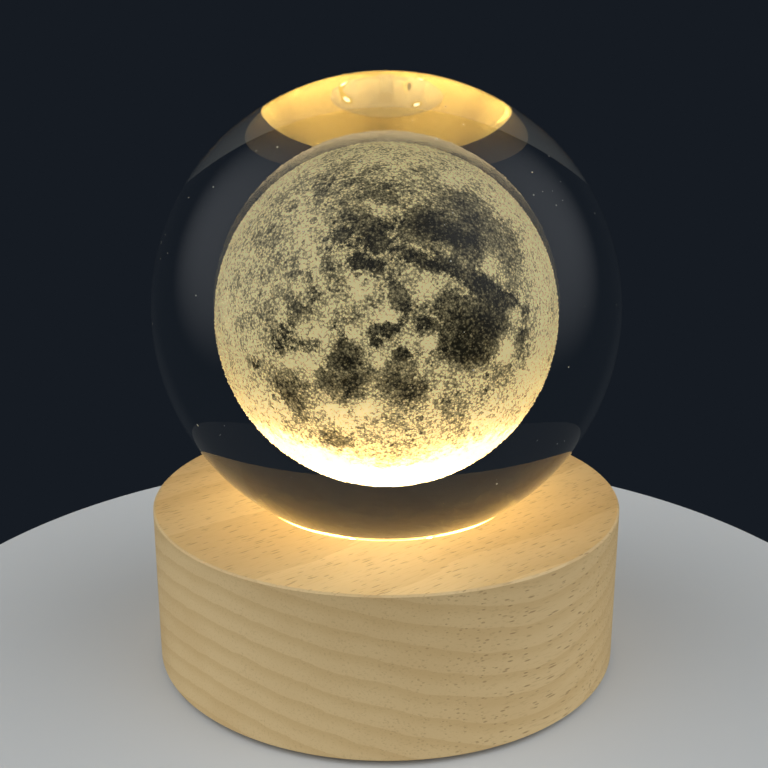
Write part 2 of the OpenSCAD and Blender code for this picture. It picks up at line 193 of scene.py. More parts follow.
def turned_beech(wood):
    """Steamed beech, turned and sanded, with a thin matt oil: pale tan, straight grain with
    short dark flecks along it, small dots where the grain ends, and painted warm light by the ball."""
    material, tree, shader, place = new_material("beech_turned_oiled")
    turn = add(tree, "mapped", {"Vector": place, "Rotation": (0, 0, -wood.grain_turn)})

    # Growth rings round a pith far below the block
    along = add(tree, "ShaderNodeSeparateXYZ", {0: turn}).outputs
    sway = add(tree, "noise", turn, 1 / (30 * MM), 2, 0.5)
    stretched = add(tree, "mapped", {"Vector": turn, "Scale": (0.12, 1, 1)})
    ripple = add(tree, "noise", stretched, 1 / (4 * MM), 3, 0.6)
    across = add(tree, "ADD", along[1], add(tree, "MULTIPLY", sway, 9 * MM))
    upward = add(tree, "ADD", along[2], wood.pith_depth)
    from_pith = hypotenuse(tree, across, upward)
    from_pith = add(tree, "ADD", from_pith, add(tree, "MULTIPLY", ripple, 1.2 * MM))
    year = add(tree, "FRACT", add(tree, "DIVIDE", from_pith, wood.ring_gap))
    late = add(tree, "step", year, 0.35, 0.95)

    # Flecks: the wood's rays, seen on edge as short dark dashes along the grain
    flecks = None
    for length, width, seed_shift, share in (
        (wood.fleck_length, 0.26 * MM, 0.0, 0.46),
        (wood.fleck_length * 0.6, 0.20 * MM, 0.37, 0.58),
    ):
        cells = add(
            tree,
            "mapped",
            {
                "Vector": turn,
                "Location": (seed_shift, seed_shift * 0.7, 0),
                "Scale": (1 / length, 1 / (2.2 * width), 1 / (2.6 * width)),
            },
        )
        spot = add(tree, "ShaderNodeTexVoronoi", {"Vector": cells, "Scale": 1.0, "Randomness": 0.9})
        lot = add(tree, "ShaderNodeSeparateColor", {0: spot.outputs["Color"]}).outputs[0]
        chosen = add(tree, "step", lot, share, share + 0.15)
        dash = add(tree, "MULTIPLY", add(tree, "step", spot.outputs["Distance"], 0.30, 0.12), chosen)
        flecks = dash if flecks is None else add(tree, "MAXIMUM", flecks, dash)

    # Where the grain ends the flecks are cut across, and hardly show
    grain = (math.cos(wood.grain_turn), math.sin(wood.grain_turn), 0)
    outward = add(tree, "ShaderNodeNewGeometry").outputs["Normal"]
    end_on = add(tree, "ABSOLUTE", add(tree, "dot", outward, grain))
    flecks = add(tree, "MULTIPLY", flecks, add(tree, "step", end_on, 0.15, 0.85, 1.0, 0.15))

    # Fine pores, too fine to show, so drawn wider than they are
    pores_place = add(tree, "mapped", {"Vector": turn, "Scale": (0.08, 1, 1)})
    pores = add(tree, "noise", pores_place, 1 / (0.3 * MM), 2, 0.5)
    patches = add(tree, "noise", stretched, 1 / (16 * MM), 2, 0.5)

    colour = add(tree, "mix", add(tree, "MULTIPLY", late, 0.45), wood.light_colour, wood.dark_colour)
    colour = add(
        tree, "mix", add(tree, "step", patches, 0.35, 0.7, 0.0, 0.35), colour, wood.dark_colour
    )
    colour = add(
        tree, "mix", add(tree, "step", pores, 0.55, 0.75, 0.0, 0.22), colour, wood.fleck_colour
    )
    colour = add(tree, "mix", add(tree, "MULTIPLY", flecks, 0.50), colour, wood.fleck_colour)
    give(
        shader,
        Base_Color=colour,
        Roughness=add(tree, "step", pores, 0.3, 0.8, 0.46, 0.60),
        IOR=1.5,
        Specular_IOR_Level=0.4,
    )
    relief = add(tree, "MULTIPLY", add(tree, "ADD", flecks, add(tree, "MULTIPLY", pores, 0.4)), -1.0)
    give(shader, Normal=add(tree, "bump", relief, 0.05 * MM))

    # Painted light, as emission: bright on the well's wall, and a warm pool that falls off across the
    # top face
    own = add(tree, "ShaderNodeSeparateXYZ", {0: place}).outputs
    out = hypotenuse(tree, own[0], own[1])
    in_well = add(
        tree,
        "MULTIPLY",
        add(tree, "step", out, SEAT_RADIUS + 0.15 * MM, SEAT_RADIUS - 0.15 * MM),
        add(tree, "step", own[2], BOARD_TOP - 0.6 * MM, BOARD_TOP - 0.2 * MM),
    )
    painted_top_light = add(
        tree,
        "MULTIPLY",
        add(tree, "step", own[2], BASE_TOP - 0.4 * MM, BASE_TOP - 0.2 * MM),
        add(tree, "slope", out, BASE_RADIUS + 4 * MM, SEAT_RADIUS, 0.0, 1.0),
    )
    painted_top_light = add(tree, "POWER", painted_top_light, 1.6)
    # The painted light on the wall is brightest beside each chip, and from there painted light spreads
    # over the seat, standing for light that leaks out
    to_chip = to_nearest_chip(tree, place)
    beside = add(tree, "step", to_chip, *WALL_GLOW, 1.0, wood.beside_gain)
    on_seat = add(tree, "step", out, WELL_RADIUS, WELL_RADIUS + 0.2 * MM)
    leak = add(tree, "step", to_chip, *SEAT_GLOW, 0.0, wood.leak_gain)
    leak = add(tree, "MULTIPLY", leak, on_seat)
    beside = add(tree, "ADD", beside, leak)
    strength = add(
        tree,
        "ADD",
        add(tree, "MULTIPLY", add(tree, "MULTIPLY", in_well, beside), wood.well_strength),
        add(tree, "MULTIPLY", painted_top_light, wood.glow_strength),
    )
    glow = add(tree, "mix", in_well, wood.glow_colour, wood.well_colour)
    painted_light_colour = add(tree, "mix", in_well, add(tree, "tint", 1.0, glow, colour), glow)
    give(shader, Emission_Color=painted_light_colour, Emission_Strength=strength)
    return material


def crystal_glass(glass):
    """Optical crown glass, ground and polished: quite clear, with a faint cool tint."""
    material, tree, shader, place = new_material("crystal_glass_polished")
    give(shader, Base_Color=glass.tint, Roughness=0.0, IOR=glass.refraction, Transmission_Weight=1.0)
    # Polishing leaves a very slight waviness, drawn deeper than it is so that highlights bend
    give(shader, Normal=add(tree, "bump", add(tree, "noise", place, 1 / (22 * MM), 1, 0.4), 0.012 * MM))
    return material


# Dark places of the Moon: latitude, longitude, radius in kilometres, how dark
SEAS = (
    (-24.3, -13.4, 270, 1.00),
    (-27.0, -39.0, 200, 0.88),
    (-15.6, -21.8, 150, 0.95),
    (-35.1, -26.7, 150, 0.60),
    (-24.6, -22.7, 115, 0.50),
    (-9.4, -33.9, 180, 0.75),
    (-2.3, -33.7, 250, 0.82),
    (-2.1, -47.6, 365, 0.78),
    (9.6, -54.2, 375, 0.74),
    (20.8, -56.9, 220, 0.55),
    (11.5, -40.7, 155, 0.60),
    (-16.6, -6.8, 75, 0.95),
    (-11.2, -9.7, 85, 0.95),
    (-6.3, -19.5, 95, 0.95),
    (-0.7, -22.5, 80, 0.95),
    (5.9, -24.6, 90, 1.00),
    (10.8, -29.8, 100, 1.00),
    (17.6, -32.1, 100, 1.00),
    (23.5, -35.7, 105, 1.00),
    (29.5, -39.5, 110, 1.00),
    (36.2, -45.0, 105, 1.00),
    (42.3, -50.0, 80, 0.90),
    (-3.5, -10.2, 120, 0.90),
    (3.1, -7.1, 105, 0.85),
    (9.4, -4.3, 100, 0.95),
    (-3.8, 1.3, 95, 0.50),
    (7.0, 9.6, 115, 1.00),
    (9.8, 4.3, 95, 1.00),
    (30.1, -22.1, 345, 0.85),
    (31.1, -7.8, 230, 0.80),
    (39.1, -21.5, 265, 0.82),
    (36.0, -34.1, 175, 0.92),
    (17.4, -17.4, 135, 0.70),
    (17.7, -4.6, 100, 1.00),
    (40.1, -8.0, 160, 0.60),
    (23.0, 4.2, 50, 1.00),
    (-19.4, 36.5, 165, 1.00),
    (-23.5, 57.1, 55, 1.00),
    (-10.7, 28.8, 100, 1.00),
    (-0.6, 22.4, 155, 0.90),
    (6.6, 24.3, 180, 0.70),
    (4.1, 32.2, 195, 0.72),
    (11.0, 36.6, 160, 0.62),
    (12.7, 28.6, 130, 0.50),
    (1.0, 37.4, 105, 0.80),
    (20.0, 13.4, 145, 0.74),
    (27.5, 16.6, 180, 0.64),
    (25.5, 24.8, 155, 0.68),
    (17.6, 21.0, 130, 0.55),
    (33.1, 18.7, 105, 0.60),
    (17.7, 8.6, 75, 0.90),
    (-5.0, 49.1, 185, 0.60),
    (0.0, 57.0, 135, 0.75),
    (-11.8, 51.9, 145, 0.50),
    (-34.4, 14.9, 85, 0.75),
    (-29.0, 10.4, 80, 0.80),
    (-22.1, 13.6, 75, 0.80),
    (-28.4, 21.9, 100, 0.75),
    (-22.0, 24.8, 110, 0.80),
    (-24.7, 1.8, 90, 0.70),
    (-19.3, 19.9, 85, 0.70),
    (-34.4, 24.4, 90, 0.60),
    (-15.3, 4.1, 90, 0.60),
    (-44.4, 26.2, 100, 0.45),
    (-32.8, 33.7, 105, 0.50),
    (53.1, -41.6, 115, 0.70),
    (48.9, -45.9, 90, 0.70),
    (58.2, -18.7, 160, 0.65),
    (48.1, 14.4, 145, 0.40),
    (52.8, 22.9, 175, 0.50),
    (16.2, 60.4, 210, 0.75),
    (32.5, 35.6, 110, 0.50),
)
# Bright places: latitude, longitude, radius in kilometres, how bright
BRIGHT = (
    (3.9, -33.2, 100, 0.50),
    (19.8, -44.8, 120, 0.40),
    (23.9, -48.3, 100, 0.30),
    (8.7, -16.7, 155, 0.50),
    (0.4, -17.1, 95, 0.30),
    (-9.8, 0.0, 120, 0.50),
    (-9.6, 10.1, 115, 0.40),
    (-0.1, 12.1, 125, 0.45),
    (3.5, 1.3, 100, 0.50),
    (16.7, 4.4, 100, 0.50),
    (23.2, -1.8, 105, 0.50),
    (-15.4, 25.0, 160, 0.50),
    (-7.2, 22.8, 110, 0.50),
    (-6.8, 36.8, 160, 0.50),
    (-13.3, 40.5, 115, 0.40),
    (13.9, 17.8, 75, 0.30),
    (-23.6, -30.5, 105, 0.35),
    (20.3, 36.0, 170, 0.40),
    (12.3, 46.1, 150, 0.35),
    (41.3, -42.6, 125, 0.50),
    (50.6, -27.7, 150, 0.45),
    (32.8, 2.2, 110, 0.40),
    (-25.1, -3.7, 100, 0.30),
    (36.9, 14.1, 130, 0.30),
    (-18.3, -34.6, 65, 0.30),
    (-46.3, -8.7, 200, 0.16),
)
# Craters with a rim: latitude, longitude, radius in kilometres, how clear the rim is
CRATERS = (
    (-43.3, -11.2, 62, 0.60),
    (-58.4, -14.4, 120, 0.35),
    (9.6, -20.1, 60, 0.40),
    (51.6, -9.4, 60, 0.40),
    (-8.9, 60.9, 80, 0.35),
    (-9.2, -1.9, 90, 0.35),
    (-13.4, -2.8, 65, 0.30),
    (-32.5, -1.0, 75, 0.30),
    (29.7, -4.0, 50, 0.35),
    (40.0, 30.0, 60, 0.30),
    (-11.4, 26.4, 60, 0.30),
    (-18.0, 23.4, 60, 0.30),
)
TYCHO = (-43.3, -11.2)
MOON_KM = 1737.4
# Where a disc starts to show and where it is full, in its radii
SEA_EDGE, BRIGHT_EDGE, DISC_CORE = 1.7, 1.3, 0.35
# The sum of discs and noise at which the dark floor starts and is full, and the most discs add
SHORE_START, SHORE_FULL, MOST_DISCS = 0.66, 0.90, 1.6


def surface_place(latitude, longitude, turn):
    """The direction of a place on the engraved moon, as the moon lies in the ball."""
    lat, lon = math.radians(latitude), math.radians(longitude)
    home = Vector((math.cos(lat) * math.sin(lon), -math.cos(lat) * math.cos(lon), math.sin(lat)))
    return home.normalized() @ Euler(turn, "XYZ").to_matrix().transposed()


def moon_pattern(tree, place, moon):
    """How bright the engraving is, from 0 to 1, and the direction from the moon's middle."""
    turn = tuple(moon.turn)
    offset = add(tree, "vector minus", place, tuple(MOON_CENTRE))
    direction = add(tree, "unit", offset)

    def closeness(vector, latitude, longitude):
        axis = tuple(surface_place(latitude, longitude, turn))
        return add(tree, "dot", vector, axis)

    def wander(size, amount, detail):
        wave = add(
            tree,
            "ShaderNodeTexNoise",
            {"Vector": direction, "Scale": size, "Detail": detail, "Roughness": 0.62},
        ).outputs["Color"]
        centred = add(tree, "vector minus", wave, (0.5, 0.5, 0.5))
        shift = add(tree, "vector times", centred, amount)
        moved = add(tree, "vector plus", direction, shift)
        return add(tree, "unit", moved)

    # Each sea is some soft discs that run together, and noise gives them a ragged shore
    ragged = wander(11.0, 0.14, 7.0)
    reach, depth_map = None, None
    for latitude, longitude, radius, depth in SEAS:
        angle = radius / MOON_KM
        near = closeness(ragged, latitude, longitude)
        disc = add(tree, "slope", near, math.cos(angle * SEA_EDGE), math.cos(angle * DISC_CORE))
        deep = add(tree, "MULTIPLY", disc, depth)
        reach = disc if reach is None else add(tree, "ADD", reach, disc)
        depth_map = deep if depth_map is None else add(tree, "ADD", depth_map, deep)
    shore = add(tree, "noise", direction, 10.0, 9.0, 0.78)
    shore = add(tree, "slope", shore, 0.30, 0.70, -1.0, 1.0)
    reach = add(tree, "MINIMUM", reach, MOST_DISCS)
    seas = add(tree, "step", add(tree, "ADD", reach, shore), SHORE_START, SHORE_FULL)
    mean_depth = add(tree, "DIVIDE", depth_map, add(tree, "MAXIMUM", reach, 0.01))
    steady = add(tree, "slope", mean_depth, 0.0, 1.0)
    seas = add(tree, "MULTIPLY", seas, steady)

    lights = None
    for latitude, longitude, radius, height in BRIGHT:
        angle = radius / MOON_KM
        near = closeness(ragged, latitude, longitude)
        spot = add(
            tree, "step", near, math.cos(angle * BRIGHT_EDGE), math.cos(angle * DISC_CORE), 0.0, height
        )
        lights = spot if lights is None else add(tree, "MAXIMUM", lights, spot)

    rims = None
    for latitude, longitude, radius, height in CRATERS:
        angle = radius / MOON_KM
        near = closeness(direction, latitude, longitude)
        outside = add(tree, "step", near, math.cos(angle * 1.35), math.cos(angle), 0.0, height)
        inside = add(
            tree, "step", near, math.cos(angle * 0.95), math.cos(angle * 0.65), 0.0, height * 1.5
        )
        rim = add(tree, "SUBTRACT", outside, inside)
        rims = rim if rims is None else add(tree, "ADD", rims, rim)

    # Small craters everywhere: ring-shaped highlights with a darker floor
    for size, weight in ((11.0, 0.07), (24.0, 0.08)):
        pits = add(
            tree, "ShaderNodeTexVoronoi", {"Vector": direction, "Scale": size, "Randomness": 1.0}
        )
        ring = add(
            tree,
            "SUBTRACT",
            add(tree, "step", pits.outputs["Distance"], 0.46, 0.34, 0.0, weight),
            add(tree, "step", pits.outputs["Distance"], 0.33, 0.20, 0.0, weight * 1.9),
        )
        rims = add(tree, "ADD", rims, ring)

    # Rays: streaks that run outward from the brightest crater
    axis = surface_place(*TYCHO, turn)
    side = axis.orthogonal().normalized()
    other = axis.cross(side)
    parts = [add(tree, "dot", direction, tuple(v)) for v in (side, other)]
    flat = add(tree, "ShaderNodeCombineXYZ", {0: parts[0], 1: parts[1]}).outputs[0]
    round_it = add(tree, "unit", flat)
    streaks = add(tree, "noise", round_it, 5.0, 4.0, 0.6)
    from_tycho = closeness(direction, *TYCHO)
    fan = add(
        tree,
        "MULTIPLY",
        add(tree, "step", from_tycho, math.cos(1.05), math.cos(0.25)),
        add(tree, "step", from_tycho, math.cos(0.03), math.cos(0.10)),
    )
    rays = add(tree, "MULTIPLY", add(tree, "slope", streaks, 0.38, 0.62, -0.20, 0.16), fan)

    rough = add(tree, "noise", direction, 5.0, 9.0, 0.68)
    mottle = add(tree, "slope", rough, 0.30, 0.70, -0.42, 0.42)
    fine = add(tree, "noise", direction, 38.0, 4.0, 0.65)
    speckle = add(tree, "slope", fine, 0.30, 0.70, -0.42, 0.42)

    # Towards the limb and on the far side there is highland only, engraved closer and paler; the pale
    # ring round the limb, as the moon faces the front, is also a painted sheen for the frosted shell
    # seen edge-on
    facing = closeness(direction, 0, 0)
    limb = add(tree, "step", facing, 0.60, 0.10, 0.56, 0.84)
    limb = add(tree, "SUBTRACT", limb, add(tree, "step", facing, -0.15, -0.45, 0.0, 0.22))
    ground = add(tree, "ADD", limb, add(tree, "ADD", mottle, speckle))
    ground = add(tree, "ADD", ground, rims)
    ground = add(tree, "ADD", ground, rays)
    sea_floor = add(tree, "ADD", 0.03, add(tree, "MULTIPLY", add(tree, "ADD", mottle, speckle), 0.30))
    mixed = add(
        tree,
        "ADD",
        add(tree, "MULTIPLY", ground, add(tree, "SUBTRACT", 1.0, seas)),
        add(tree, "MULTIPLY", sea_floor, seas),
    )
    bright = add(
        tree, "ADD", mixed, add(tree, "MULTIPLY", lights, add(tree, "step", rough, 0.35, 0.6, 0.4, 1.0))
    )
    bright = add(tree, "ShaderNodeClamp", {0: bright, 1: 0.0, 2: 1.0}).outputs[0]
    return bright, direction


def laser_engraving(moon, name, own_dots):
    """Micro-cracks that a laser leaves in the glass: white frosted points, close together
    where the moon is bright and sparse in its seas, where the dark inside shows through."""
    material, tree, shader, place = new_material(name)
    bright, direction = moon_pattern(tree, place, moon)
    if own_dots:
        engraved = add(tree, "slope", bright, 0.0, 0.8, 0.10, 1.0)
    else:
        points = add(
            tree,
            "ShaderNodeTexVoronoi",
            {"Vector": place, "Scale": 1 / moon.dot_gap, "Randomness": 1.0},
        ).outputs
        chance = add(tree, "ShaderNodeSeparateColor", {0: points["Color"]}).outputs
        dot = add(tree, "step", points["Distance"], 0.80, 0.15)
        gain = add(
            tree,
            "MULTIPLY",
            add(tree, "slope", dot, 0.0, 1.0, 0.35, 1.45),
            add(tree, "slope", chance[0], 0.0, 1.0, 0.40, 1.60),
        )
        lone = add(tree, "MULTIPLY", add(tree, "step", chance[1], 0.72, 0.95, 0.0, 0.14), dot)
        # Where the points stand closest they merge into an even frost
        merged = add(tree, "MULTIPLY", add(tree, "POWER", bright, 2.0), 0.36)
        engraved = add(tree, "ADD", add(tree, "MULTIPLY", bright, gain), add(tree, "ADD", lone, merged))
    colour = add(tree, "mix", engraved, moon.dark_colour, moon.bright_colour)
    # A frosted shell looks paler where it is seen edge-on: its points stand closer together
    give(
        shader,
        Base_Color=colour,
        Roughness=0.85,
        IOR=1.5,
        Specular_IOR_Level=0.0,
        Sheen_Weight=0.5,
        Sheen_Roughness=0.45,
        Sheen_Tint=moon.bright_colour,
    )

    # Painted light from the chips below, as emission: it fills the lower edge and thins out upwards
    parts = add(tree, "ShaderNodeSeparateXYZ", {0: direction}).outputs
    climb = add(tree, "slope", parts[2], -0.2, 1.0, 1.0, moon.top_share)
    edge_noise = add(tree, "noise", direction, 14.0, 6.0, 0.75)
    # The painted lit edge climbs a little at the sides
    climb_side = add(tree, "MULTIPLY", add(tree, "ABSOLUTE", parts[0]), 0.27)
    lip = add(tree, "SUBTRACT", parts[2], climb_side)
    ragged_edge = add(tree, "slope", edge_noise, 0.3, 0.7, -0.09, 0.09)
    crescent = add(tree, "step", add(tree, "ADD", lip, ragged_edge), -0.78, -0.92)
    hot = add(tree, "step", parts[2], -0.82, -0.97, 1.0, moon.underside_gain)
    # Behind, where the engraving is deepest over the chips, the painted light climbs further and fades
    # out
    rise = add(tree, "ADD", parts[2], add(tree, "MULTIPLY", ragged_edge, 0.4))
    behind = add(
        tree, "MULTIPLY", add(tree, "step", rise, -0.46, -0.68), add(tree, "step", parts[1], 0.30, 0.66)
    )
    low_light = add(tree, "step", parts[2], -0.15, -0.80, 0.0, moon.low_strength)
    strength = add(
        tree,
        "ADD",
        add(tree, "ADD", add(tree, "MULTIPLY", climb, moon.glow_strength), low_light),
        add(
            tree,
            "MAXIMUM",
            add(tree, "MULTIPLY", add(tree, "MULTIPLY", crescent, moon.crescent_strength), hot),
            add(tree, "MULTIPLY", behind, moon.crescent_strength * moon.underside_gain),
        ),
    )
    painted_light_whiteness = add(tree, "MULTIPLY", add(tree, "MAXIMUM", crescent, behind), 0.9)
    lit = add(tree, "mix", painted_light_whiteness, colour, moon.crescent_colour)
    give(shader, Emission_Color=lit, Emission_Strength=strength)
    return material


def moulded(name, base, worn, grain, depth, roughness):
    """A moulded plastic or rubber: one colour with a faint drift, and the mould's texture."""
    material, tree, shader, place = new_material(name)
    drift = add(tree, "noise", place, 1 / (9 * MM), 3, 0.6)
    texture = add(tree, "noise", place, 1 / grain, 2, 0.5)
    drift = add(tree, "step", drift, 0.35, 0.75, 0.0, 0.6)
    colour = add(tree, "mix", drift, linear(base), linear(worn))
    rough = add(tree, "slope", texture, 0.3, 0.7, roughness - 0.06, roughness + 0.08)
    relief = add(tree, "bump", texture, depth)
    give(shader, Base_Color=colour, Roughness=rough, IOR=1.49, Normal=relief)
    return material


def plated(name, base, tarnish, roughness, scratch, stretch=(1, 1, 1)):
    """A plated or tinned metal: bright, with fine scratches and slightly duller patches."""
    material, tree, shader, place = new_material(name)
    patches = add(tree, "noise", place, 1 / (3 * MM), 3, 0.6)
    lines = add(tree, "mapped", {"Vector": place, "Scale": stretch})
    marks = add(tree, "noise", lines, 1 / scratch, 2, 0.5)
    colour = add(tree, "mix", add(tree, "step", patches, 0.4, 0.75), linear(base), linear(tarnish))
    rough = add(tree, "slope", marks, 0.3, 0.7, roughness - 0.06, roughness + 0.12)
    relief = add(tree, "bump", marks, 0.004 * MM)
    give(shader, Base_Color=colour, Roughness=rough, Metallic=1.0, Normal=relief)
    return material


def solder_mask(name, base, over_track, track_gap, gloss):
    """A circuit board: lacquer over fibreglass, a little lighter and higher over its tracks."""
    material, tree, shader, place = new_material(name)
    grid = add(
        tree,
        "ShaderNodeTexVoronoi",
        {"Vector": place, "Scale": 1 / track_gap, "Randomness": 0.35},
        distance="CHEBYCHEV",
    )
    tracks = add(tree, "step", grid.outputs["Distance"], 0.44, 0.40)
    weave = add(tree, "noise", place, 1 / (0.4 * MM), 1, 0.5)
    colour = add(tree, "mix", tracks, linear(base), linear(over_track))
    colour = add(tree, "mix", add(tree, "step", weave, 0.4, 0.7, 0.0, 0.12), colour, linear(over_track))
    give(
        shader,
        Base_Color=colour,
        Roughness=add(tree, "slope", weave, 0.3, 0.7, gloss, gloss + 0.12),
        IOR=1.52,
        Normal=add(tree, "bump", tracks, 0.03 * MM),
    )
    return material


def to_nearest_chip(tree, place):
    """Distance from the middle of the nearest light chip, seen from above."""
    own = add(tree, "ShaderNodeSeparateXYZ", {0: place}).outputs
    turned = add(
        tree, "SUBTRACT", add(tree, "ARCTAN2", own[1], own[0]), CHIP_TURN - math.pi / CHIP_COUNT
    )
    step = 2 * math.pi / CHIP_COUNT
    folded = add(tree, "SUBTRACT", add(tree, "FLOORED_MODULO", turned, step), step / 2)
    out = hypotenuse(tree, own[0], own[1])
    off = add(tree, "SUBTRACT", add(tree, "MULTIPLY", out, add(tree, "COSINE", folded)), CHIP_RING)
    across = add(tree, "MULTIPLY", out, add(tree, "SINE", folded))
    return hypotenuse(tree, off, across)


def chip_window(light):
    """Yellow phosphor in clear resin, lit: near white over the chip, with a warm edge."""
    material, tree, shader, place = new_material("phosphor_resin_lit")
    away = to_nearest_chip(tree, place)
    core = add(tree, "step", away, *CHIP_GLOW)
    colour = add(tree, "mix", core, light.resin_colour, light.chip_colour)
    give(shader, Base_Color=colour, Emission_Color=colour)
    strength = add(tree, "MULTIPLY", add(tree, "POWER", core, 2.0), light.chip_strength)
    give(
        shader,
        Emission_Strength=add(tree, "ADD", strength, light.resin_strength),
        Roughness=0.25,
        IOR=1.5,
    )
    return material


def in_well_light(material, light, share=1.0):
    """Adds painted warm light, as emission, for the light that the well's wall throws back on the board
    and what stands on it.
    """
    tree = material.node_tree
    shader = tree.nodes["Principled BSDF"]
    place = add(tree, "ShaderNodeTexCoord").outputs["Object"]
    away = to_nearest_chip(tree, place)
    near = add(tree, "step", away, *BOARD_GLOW, 0.65, 1.0)
    height = add(tree, "ShaderNodeSeparateXYZ", {0: place}).outputs[2]
    top = add(tree, "step", height, BOARD_TOP - 0.3 * MM, BOARD_TOP - 0.1 * MM)
    strength = add(tree, "MULTIPLY", add(tree, "MULTIPLY", near, top), light.board_strength * share)
    give(shader, Emission_Strength=strength, Emission_Color=light.board_colour)
    return material


def dust():
    """Lint and polishing grit on the glass: pale, dry, without gloss, with a faint painted glow for the
    lamp's light from below.
    """
    material, tree, shader, place = new_material("lint_pale_dry")
    tint = add(tree, "noise", place, 1 / (6 * MM), 2, 0.5)
    colour = add(tree, "mix", add(tree, "step", tint, 0.35, 0.65), linear("#C9C9BE"), linear("#E8E4D2"))
    # The emission is painted light, standing for the lamp below
    give(
        shader,
        Base_Color=colour,
        Emission_Color=colour,
        Roughness=0.9,
        Specular_IOR_Level=0.2,
        Emission_Strength=0.35,
    )
    return material


# ---------- shapes ----------


def place_object(name, mesh):
    """An object of the mesh, unturned and unscaled at the origin."""
    made = bpy.data.objects.new(name, mesh)
    bpy.context.scene.collection.objects.link(made)
    return made


def rounded_ball(name, centre, radius, cuts):
    """A ball of even four-sided faces: a subdivided cube drawn out to the ball's radius."""
    shape = bmesh.new()
    bmesh.ops.create_cube(shape, size=2.0)
    bmesh.ops.subdivide_edges(shape, edges=shape.edges[:], cuts=cuts, use_grid_fill=True)
    for vertex in shape.verts:
        # Evens out the faces' widths before they are drawn out
        bent = Vector(math.tan(c * math.pi / 4) for c in vertex.co)
        vertex.co = bent.normalized() * radius + centre
    for face in shape.faces:
        face.smooth = True
    bmesh.ops.recalc_face_normals(shape, faces=shape.faces[:])
    mesh = bpy.data.meshes.new(name)
    shape.to_mesh(mesh)
    shape.free()
    return place_object(name, mesh)


def scatter_tree(name):
    """Geometry nodes that strew small round specks over a ball's surface."""
    tree = bpy.data.node_groups.new(name, "GeometryNodeTree")
    kinds = (
        ("Ball Radius", "NodeSocketFloat"),
        ("Ball Centre", "NodeSocketVector"),
        ("Specks per Area", "NodeSocketFloat"),
        ("Speck Radius", "NodeSocketFloat"),
        ("Smallest Share", "NodeSocketFloat"),
        ("Flatness", "NodeSocketFloat"),
        ("Lowest", "NodeSocketFloat"),
        ("Seed", "NodeSocketInt"),
        ("Finish", "NodeSocketMaterial"),
    )
    for label, kind in kinds:
        tree.interface.new_socket(name=label, in_out="INPUT", socket_type=kind)
    tree.interface.new_socket(name="Geometry", in_out="OUTPUT", socket_type="NodeSocketGeometry")
    given = add(tree, "NodeGroupInput").outputs
    carrier = add(
        tree, "GeometryNodeMeshIcoSphere", {"Radius": given["Ball Radius"], "Subdivisions": 6}
    )
    height = add(
        tree, "ShaderNodeSeparateXYZ", {0: add(tree, "GeometryNodeInputPosition").outputs[0]}
    ).outputs[2]
    high_enough = add(
        tree,
        "FunctionNodeCompare",
        {0: height, 1: given["Lowest"]},
        data_type="FLOAT",
        operation="GREATER_THAN",
    ).outputs[0]
    points = add(
        tree,
        "GeometryNodeDistributePointsOnFaces",
        {
            "Mesh": carrier.outputs[0],
            "Selection": high_enough,
            "Density": given["Specks per Area"],
            "Seed": given["Seed"],
        },
        distribute_method="RANDOM",
    )
    speck = add(tree, "GeometryNodeMeshIcoSphere", {"Radius": given["Speck Radius"], "Subdivisions": 1})
    size = add(
        tree,
        "FunctionNodeRandomValue",
        {2: given["Smallest Share"], 3: 1.0, "Seed": given["Seed"]},
        data_type="FLOAT",
    ).outputs[1]
    length = add(
        tree, "FunctionNodeRandomValue", {2: 0.7, 3: 1.6, "Seed": 5}, data_type="FLOAT"
    ).outputs[1]
    along = add(tree, "MULTIPLY", size, length)
    thin = add(tree, "MULTIPLY", size, given["Flatness"])
    stretch = add(tree, "ShaderNodeCombineXYZ", {0: along, 1: size, 2: thin}).outputs[0]
    strewn = add(
        tree,
        "GeometryNodeInstanceOnPoints",
        {
            "Points": points.outputs["Points"],
            "Instance": speck.outputs[0],
            "Rotation": points.outputs["Rotation"],
            "Scale": stretch,
        },
    ).outputs[0]
    moved = add(
        tree, "GeometryNodeTransform", {"Geometry": strewn, "Translation": given["Ball Centre"]}
    ).outputs[0]
    real = add(tree, "GeometryNodeRealizeInstances", {0: moved}).outputs[0]
    soft = add(tree, "GeometryNodeSetShadeSmooth", {"Geometry": real}).outputs[0]
    done = add(
        tree, "GeometryNodeSetMaterial", {"Geometry": soft, "Material": given["Finish"]}
    ).outputs[0]
    add(tree, "NodeGroupOutput", {0: done})
    return tree


def grow(name, tree, inputs, material):
    """Runs geometry nodes with the named inputs and keeps the result as a plain mesh."""
    seedling = place_object(name + "_nodes", bpy.data.meshes.new(name + "_nodes"))
    modifier = seedling.modifiers.new("nodes", "NODES")
    modifier.node_group = tree
    sockets = {i.name: i.identifier for i in tree.interface.items_tree if i.in_out == "INPUT"}
    for label, value in {**inputs, "Finish": material}.items():
        modifier[sockets[label]] = value
    bpy.context.view_layer.update()
    graph = bpy.context.evaluated_depsgraph_get()
    mesh = bpy.data.meshes.new_from_object(seedling.evaluated_get(graph), depsgraph=graph)
    mesh.name = name
    bpy.data.objects.remove(seedling)
    if not mesh.polygons:
        raise RuntimeError(f"{name} came out empty")
    made = place_object(name, mesh)
    if not mesh.materials:
        mesh.materials.append(material)
    return made


def merged_copy(node, name):
    """A new piece with a packed node's shape, its loose triangles merged."""
    shape = bmesh.new()
    shape.from_mesh(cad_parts[node].data)
    bmesh.ops.remove_doubles(shape, verts=shape.verts[:], dist=MERGE_GAP)
    mesh = bpy.data.meshes.new(name)
    shape.to_mesh(mesh)
    shape.free()
    return place_object(name, mesh)


def dress(nodes, material):
    """Gives packed nodes their finish."""
    for name in nodes:
        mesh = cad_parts[name].data
        mesh.materials.clear()
        mesh.materials.append(material)


